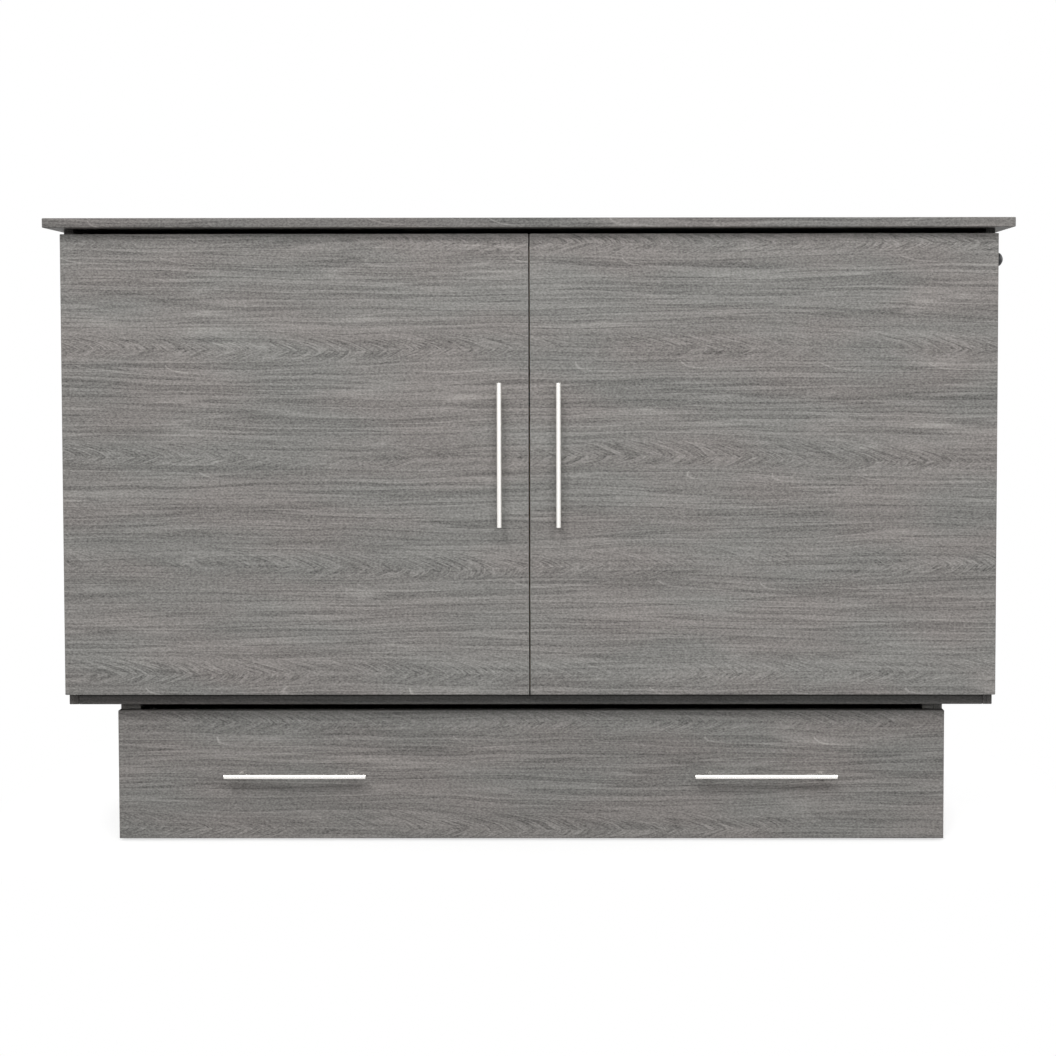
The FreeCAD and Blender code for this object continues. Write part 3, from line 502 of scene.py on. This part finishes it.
paint(doorGrain, "left_door_panel", "right_door_panel")
paint(drawerGrain, "drawer_front")
paint(topGrain, "lid_panel", "rear_top_strip")
paint(floorPanelGrainPaintedShade, "floor_panel")
paint(sideGrain, "left_side_panel", "right_side_panel")
paint(plinthGrain, "plinth_sides")
paint(innerBoard, "plinth_back_rail", "back_top_rail", "drawer_inner_front", "drawer_back", "floor_bearers")
paint(innerSideBoard, "drawer_sides")
paint(backBoard, "back_panel", "drawer_bottom")
paint(brushedNickelUpright, "left_door_pull_bar", "right_door_pull_bar")
paint(brushedNickelLevel, "drawer_pull_bars")
paint(satinNickel, "left_door_pull_posts", "right_door_pull_posts", "drawer_pull_posts")
paint(zincStrip, "lid_hinge_fixed_leaf", "lid_hinge_moving_leaf", "lid_hinge_pin", "deck_hinges",
      "latch_pin", "wheel_axles", "latch_spring")
paint(zincPlate, "door_hinge_fixed_leaves", "door_hinge_pins", "left_door_hinge_moving_leaves",
      "right_door_hinge_moving_leaves", "left_door_strike", "right_door_strike", "lid_screws",
      "carcass_screws", "left_door_screws", "right_door_screws", "drawer_screws")
paint(blackNylon, "latch_knob", "latch_bush", "floor_glides", "door_catches", "front_wheels", "rear_wheels")
paint(blackPowderCoat, "deck_legs", "leg_pivots", "wheel_brackets")
paint(birch, "mid_leaf_slats", "foot_leaf_slats", "head_deck_battens", "head_deck_slats")
paint(spruce, "mid_leaf_frame", "foot_leaf_frame")
print("materials done")


mattress = {
    "edgeRadius": 22 * mm,
    "edgeSegments": 5,
    "shrink": 5 * mm,          # the filled form starts this much inside its space
    "voxel": 13 * mm,
    "fillPressure": 4.0,
    "fillFrames": 14,
    "fillQuality": 4,
    "fillLimit": 6 * mm,       # how far a point may swell
    "channelSpacing": 150 * mm,
    "channelDepth": 3.0 * mm,
    "channelHalfWidth": 9 * mm,
    "broadFace": 0.6,          # past this share of the half depth a point belongs to a broad face
    "pipingRadius": 2.6 * mm,
    "pipingInset": 1 * mm,     # left free between the piping and the edge of the space
    "pipingFromFace": 19 * mm,
    "pipingRounding": 2,
}


cornerSegments = 6             # of the piping and the straps


def only(piece):
    bpy.ops.object.select_all(action="DESELECT")
    piece.select_set(True)
    bpy.context.view_layer.objects.active = piece


def addBlock(name, low, high):
    bpy.ops.object.select_all(action="DESELECT")
    bpy.ops.mesh.primitive_cube_add(size=1.0, location=[(a + b) / 2 for a, b in zip(low, high)])
    block = bpy.context.active_object
    block.name = name
    block.scale = [b - a for a, b in zip(low, high)]
    bpy.ops.object.transform_apply(location=True, rotation=True, scale=True)
    return block


# a closed outline of edges with rounded corners, from a plane between two corners of a box
def addOutline(name, low, high, rotation, radius):
    bpy.ops.object.select_all(action="DESELECT")
    bpy.ops.mesh.primitive_plane_add(size=1.0, location=[(a + b) / 2 for a, b in zip(low, high)],
                                     rotation=rotation)
    outline = bpy.context.active_object
    outline.name = name
    sizes = [b - a for a, b in zip(low, high)]
    outline.scale = (sizes[0], sizes[2] if rotation[0] else sizes[1], 1.0)
    bpy.ops.object.transform_apply(location=True, rotation=True, scale=True)
    bpy.ops.object.mode_set(mode="EDIT")
    bpy.ops.mesh.select_all(action="SELECT")
    bpy.ops.mesh.bevel(offset=radius, segments=cornerSegments, affect="VERTICES")
    bpy.ops.mesh.select_all(action="SELECT")
    bpy.ops.mesh.delete(type="ONLY_FACE")
    bpy.ops.object.mode_set(mode="OBJECT")
    return outline


def applyAll(piece):
    only(piece)
    for modifier in list(piece.modifiers):
        bpy.ops.object.modifier_apply(modifier=modifier.name)


# a filled form: a rounded block, remeshed and swollen by cloth pressure inside its space
def softForm(name, low, high):
    inner = mattress["shrink"]
    block = addBlock(name, [c + inner for c in low], [c - inner for c in high])
    bevel = block.modifiers.new("round", "BEVEL")
    bevel.width = mattress["edgeRadius"]
    bevel.segments = mattress["edgeSegments"]
    remesh = block.modifiers.new("remesh", "REMESH")
    remesh.mode = "VOXEL"
    remesh.voxel_size = mattress["voxel"]
    remesh.use_smooth_shade = True
    applyAll(block)
    start = [vertex.co.copy() for vertex in block.data.vertices]
    cloth = block.modifiers.new("fill", "CLOTH")
    cloth.settings.use_pressure = True
    cloth.settings.uniform_pressure_force = mattress["fillPressure"]
    cloth.settings.effector_weights.gravity = 0.0
    cloth.settings.quality = mattress["fillQuality"]
    scene = bpy.context.scene
    for frameNumber in range(1, mattress["fillFrames"] + 1):
        scene.frame_set(frameNumber)
    applyAll(block)
    scene.frame_set(1)
    for vertex, origin in zip(block.data.vertices, start):
        step = vertex.co - origin
        if step.length > mattress["fillLimit"]:
            vertex.co = origin + step.normalized() * mattress["fillLimit"]
    finer = block.modifiers.new("finer", "SUBSURF")
    finer.levels = 1
    finer.render_levels = 1
    applyAll(block)
    return block


# press quilted channels into the two broad faces and keep every point inside the given space
def sewChannels(piece, low, high):
    depthMid = (low[1] + high[1]) / 2
    spacing = mattress["channelSpacing"]
    for vertex in piece.data.vertices:
        x, y, z = vertex.co
        side = 1 if y > depthMid else -1
        face = (y - depthMid) / (high[1] - depthMid)
        if abs(face) > mattress["broadFace"]:
            gaps = []  # to the nearest channel of each of the two diagonal rows
            for slope in (1, -1):
                line = (x + slope * z) / spacing
                gaps.append(abs(line - round(line)) * spacing * math.sqrt(0.5))
            press = max(math.exp(-(gap / mattress["channelHalfWidth"]) ** 2) for gap in gaps)
            y -= side * press * mattress["channelDepth"]
        vertex.co = [min(max(value, low[i]), high[i]) for i, value in enumerate((x, y, z))]
    piece.data.update()


# tape piping round one broad face, as a closed tube with rounded corners
def pipingLoop(name, low, high, y):
    inset = mattress["pipingRadius"] + mattress["pipingInset"]
    loop = addOutline(name, (low[0] + inset, y, low[2] + inset), (high[0] - inset, y, high[2] - inset),
                      (math.pi / 2, 0, 0), mattress["edgeRadius"])
    bpy.ops.object.convert(target="CURVE")
    loop.data.bevel_depth = mattress["pipingRadius"]
    loop.data.bevel_resolution = mattress["pipingRounding"]
    bpy.ops.object.convert(target="MESH")
    bpy.ops.object.shade_smooth()
    return loop


def addMattress():
    for part in ("foot", "middle", "head"):
        node = "mattress_" + part + "_section"
        low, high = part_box(node)
        piece = softForm("mattress" + part.capitalize(), low, high)
        sewChannels(piece, low, high)
        piece.data.materials.append(ticking)
        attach(piece, "cabinet")
        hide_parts(node)
        inset = mattress["pipingFromFace"]
        for name, y in (("Front", low[1] + inset), ("Back", high[1] - inset)):
            piping = pipingLoop("mattress" + part.capitalize() + "Piping" + name, low, high, y)
            piping.data.materials.append(pipingTape)
            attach(piping, "cabinet")
        print("mattress", part)


strap = {
    "thickness": 1.2 * mm,
    "width": 40 * mm,
    "cornerRadius": 14 * mm,
    "selvedge": 0.4 * mm,
    "selvedgeSegments": 2,
}


# two webbing straps round the folded mattress, one near its lower edge and one near its upper edge
def addStraps():
    low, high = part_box("mattress_straps")
    half = strap["thickness"] / 2
    width = strap["width"]
    for index, z in enumerate((low[2], high[2] - width)):
        band = addOutline("mattressStrap" + str(index + 1), (low[0] + half, low[1] + half, z),
                          (high[0] - half, high[1] - half, z), (0, 0, 0), strap["cornerRadius"])
        bpy.ops.object.mode_set(mode="EDIT")
        bpy.ops.mesh.select_all(action="SELECT")
        bpy.ops.mesh.extrude_region_move(TRANSFORM_OT_translate={"value": (0, 0, width)})
        bpy.ops.mesh.select_all(action="SELECT")
        bpy.ops.mesh.normals_make_consistent(inside=False)
        bpy.ops.object.mode_set(mode="OBJECT")
        solid = band.modifiers.new("thickness", "SOLIDIFY")
        solid.thickness = strap["thickness"]
        solid.offset = 0.0
        soft = band.modifiers.new("selvedge", "BEVEL")
        soft.width = strap["selvedge"]
        soft.segments = strap["selvedgeSegments"]
        applyAll(band)
        band.data.materials.append(webbing)
        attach(band, "cabinet")
    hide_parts("mattress_straps")
    print("straps done")


latchSpring = {
    "turns": 7,
    "wireRadius": 0.4 * mm,
    "wireSides": 12,
    "stepsPerTurn": 24,
    "travel": 8.5 * mm,        # the latch pin's collar presses the coil together by this much
}


# the latch's compression spring: a wire circle screwed along X about the pin
def addLatchSpring():
    low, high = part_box("latch_spring")
    wire = latchSpring["wireRadius"]
    axisY, axisZ = (low[1] + high[1]) / 2, (low[2] + high[2]) / 2
    coilRadius = (high[1] - low[1]) / 2 - wire
    bpy.ops.object.select_all(action="DESELECT")
    bpy.ops.mesh.primitive_circle_add(vertices=latchSpring["wireSides"], radius=wire,
                                      location=(low[0] + wire, axisY, axisZ))
    spring = bpy.context.active_object
    spring.name = "latchSpringCoil"
    bpy.ops.object.mode_set(mode="EDIT")
    bpy.ops.mesh.select_all(action="SELECT")
    bpy.ops.transform.translate(value=(0, coilRadius, 0))
    bpy.ops.object.mode_set(mode="OBJECT")
    coil = spring.modifiers.new("coil", "SCREW")
    coil.axis = "X"
    coil.iterations = latchSpring["turns"]
    coil.screw_offset = (high[0] - low[0] - 2 * wire) / latchSpring["turns"]
    coil.steps = latchSpring["stepsPerTurn"]
    coil.render_steps = latchSpring["stepsPerTurn"]
    applyAll(spring)
    bpy.ops.object.mode_set(mode="EDIT")
    bpy.ops.mesh.select_all(action="SELECT")
    bpy.ops.mesh.fill_holes(sides=latchSpring["wireSides"])
    bpy.ops.mesh.select_all(action="SELECT")
    bpy.ops.mesh.normals_make_consistent(inside=False)
    bpy.ops.object.mode_set(mode="OBJECT")
    bpy.ops.object.transform_apply(location=True, rotation=True, scale=True)
    bpy.ops.object.shade_smooth()
    spring.data.materials.append(zincStrip)
    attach(spring, "cabinet")
    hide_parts("latch_spring")
    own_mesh(spring)
    print("latch spring done")


addMattress()
addStraps()
addLatchSpring()


view = {
    "place": (0.1118, -3.4788, 0.8445),
    "yaw": 0.00352,
    "pitch": 0.04142,          # downwards
    "roll": -0.00101,
    "focalPixels": 1883.9,     # at 1056 pixels across
    "centre": (588.4, 434.0),  # pixel that the camera's axis meets
    "frame": 1056,
    "sensor": 36.0,
    "clipEnd": 60.0,
}


def addCamera():
    data = bpy.data.cameras.new("studioCamera")
    camera = bpy.data.objects.new("studioCamera", data)
    bpy.context.scene.collection.objects.link(camera)
    data.sensor_width = view["sensor"]
    data.lens = view["focalPixels"] / view["frame"] * view["sensor"]
    data.shift_x = (view["frame"] / 2 - view["centre"][0]) / view["frame"]
    data.shift_y = (view["centre"][1] - view["frame"] / 2) / view["frame"]
    data.clip_end = view["clipEnd"]
    turn = (Matrix.Rotation(view["yaw"], 4, "Z")
            @ Matrix.Rotation(math.pi / 2 - view["pitch"], 4, "X")
            @ Matrix.Rotation(view["roll"], 4, "Z"))
    camera.matrix_world = Matrix.Translation(view["place"]) @ turn
    bpy.context.scene.camera = camera


studio = {
    "lamps": [
        # name, place, aim, width, height, power
        ("keySoftbox", (-2.6, -8.8, 9.1), (0.0, -0.28, 0.5), 3.6, 3.6, 635.0),
        ("fillSoftbox", (3.2, -9.3, 8.2), (0.0, -0.28, 0.5), 3.6, 3.3, 436.0),
        ("frontSoftbox", (0.3, -8.8, 2.9), (0.0, -0.28, 0.5), 3.2, 1.6, 200.0),
        ("topSoftbox", (0.0, 0.2, 4.2), (0.0, 0.0, 1.0), 2.6, 1.6, 14.0),
        ("backSoftbox", (0.8, 5.8, 3.4), (0.0, 0.3, 0.5), 3.6, 2.4, 240.0),
        ("leftSoftbox", (-5.8, 0.7, 2.4), (0.0, 0.1, 0.5), 2.4, 2.4, 70.0),
        ("rightSoftbox", (5.8, 0.7, 2.4), (0.0, 0.1, 0.5), 2.4, 2.4, 70.0),
    ],
    "skyStrength": 0.1,        # what the background gives to the object; it looks white to the camera
    "floorSize": 60.0,
    "floorRoughness": 0.9,
    "floorGrey": 0.3,          # what the floor gives back to the object
    "floorSeenGrey": 0.42,     # the part of the floor's look that takes the shadow
    "floorSeenGlow": 0.7,
    "floorShadowNear": 0.03,   # the shadow on the floor fades out between these distances from the plinth
    "floorShadowFar": 0.3,
}


def addLamps():
    for name, place, aim, width, height, power in studio["lamps"]:
        data = bpy.data.lights.new(name, "AREA")
        data.shape = "RECTANGLE"
        data.size = width
        data.size_y = height
        data.energy = power
        lamp = bpy.data.objects.new(name, data)
        lamp.location = place
        lamp.rotation_euler = (Vector(aim) - Vector(place)).to_track_quat("-Z", "Y").to_euler()
        bpy.context.scene.collection.objects.link(lamp)


# 1 for camera, mirror and glass rays, 0 for light that falls on the object
def seenDirectly(tree):
    ray = addNode(tree, "LightPath")
    seen = addNode(tree, "Math", ray.outputs["Is Camera Ray"], ray.outputs["Is Glossy Ray"],
                   operation="MAXIMUM")
    return addNode(tree, "Math", seen, ray.outputs["Is Transmission Ray"], operation="MAXIMUM")


def addWorld():
    world = bpy.data.worlds.new("studioWorld")
    bpy.context.scene.world = world
    world.use_nodes = True
    tree = world.node_tree
    tree.nodes.clear()
    strength = addNode(tree, "MapRange", named={"Value": seenDirectly(tree), "To Max": 1.0,
                                                "To Min": studio["skyStrength"]})
    white = addNode(tree, "Background", named={"Strength": strength.outputs[0], "Color": (1, 1, 1, 1)})
    addNode(tree, "OutputWorld", named={"Surface": white.outputs[0]})


# Paper floor: grey for the light it gives back, white to the eye, with the shadow kept near the plinth
def addFloor():
    bpy.ops.object.select_all(action="DESELECT")
    bpy.ops.mesh.primitive_plane_add(size=studio["floorSize"], location=(0, 0, 0))
    floor = bpy.context.active_object
    floor.name = "studioFloor"
    material, tree, shader = newMaterial("palePaper", Roughness=studio["floorRoughness"])
    shader.inputs["Specular IOR Level"].default_value = 0.0
    seen = seenDirectly(tree)
    mix = addNode(tree, "Mix", data_type="RGBA",
                  named={"Factor": seen, "A": [studio["floorGrey"]] * 3 + [1],
                         "B": [studio["floorSeenGrey"]] * 3 + [1]})
    tree.links.new(mix.outputs["Result"], shader.inputs["Base Color"])
    shader.inputs["Emission Color"].default_value = (1, 1, 1, 1)
    glow = addNode(tree, "Math", seen, studio["floorSeenGlow"], operation="MULTIPLY")
    tree.links.new(glow.outputs[0], shader.inputs["Emission Strength"])
    low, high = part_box("plinth_sides")
    place = addNode(tree, "TexCoord")
    xyz = addNode(tree, "SeparateXYZ", place.outputs["Object"])
    reach = []  # squared distance past the plinth along each axis
    for axis, index in (("X", 0), ("Y", 1)):
        middle, half = (low[index] + high[index]) / 2, (high[index] - low[index]) / 2
        past = addNode(tree, "Math", xyz.outputs[axis], middle, operation="SUBTRACT")
        past = addNode(tree, "Math", past, operation="ABSOLUTE")
        past = addNode(tree, "Math", past, half, operation="SUBTRACT")
        past = addNode(tree, "Math", past, 0.0, operation="MAXIMUM")
        reach.append(addNode(tree, "Math", past, past, operation="MULTIPLY"))
    distance = addNode(tree, "Math", *reach, operation="ADD")
    distance = addNode(tree, "Math", distance, operation="SQRT")
    fade = addNode(tree, "MapRange", interpolation_type="SMOOTHSTEP",
                   named={"Value": distance, "From Min": studio["floorShadowNear"],
                          "From Max": studio["floorShadowFar"]})
    clean = addNode(tree, "Emission", named={"Color": (1, 1, 1, 1), "Strength": 1.0})
    share = addNode(tree, "Math", fade, seen, operation="MULTIPLY")
    chosen = addNode(tree, "MixShader", share, shader, clean)
    output = next(node for node in tree.nodes if node.type == "OUTPUT_MATERIAL")
    tree.links.new(chosen.outputs[0], output.inputs["Surface"])
    floor.data.materials.append(material)


addCamera()
addLamps()
addWorld()
addFloor()
bpy.context.scene.view_settings.view_transform = "Standard"
print("studio done")
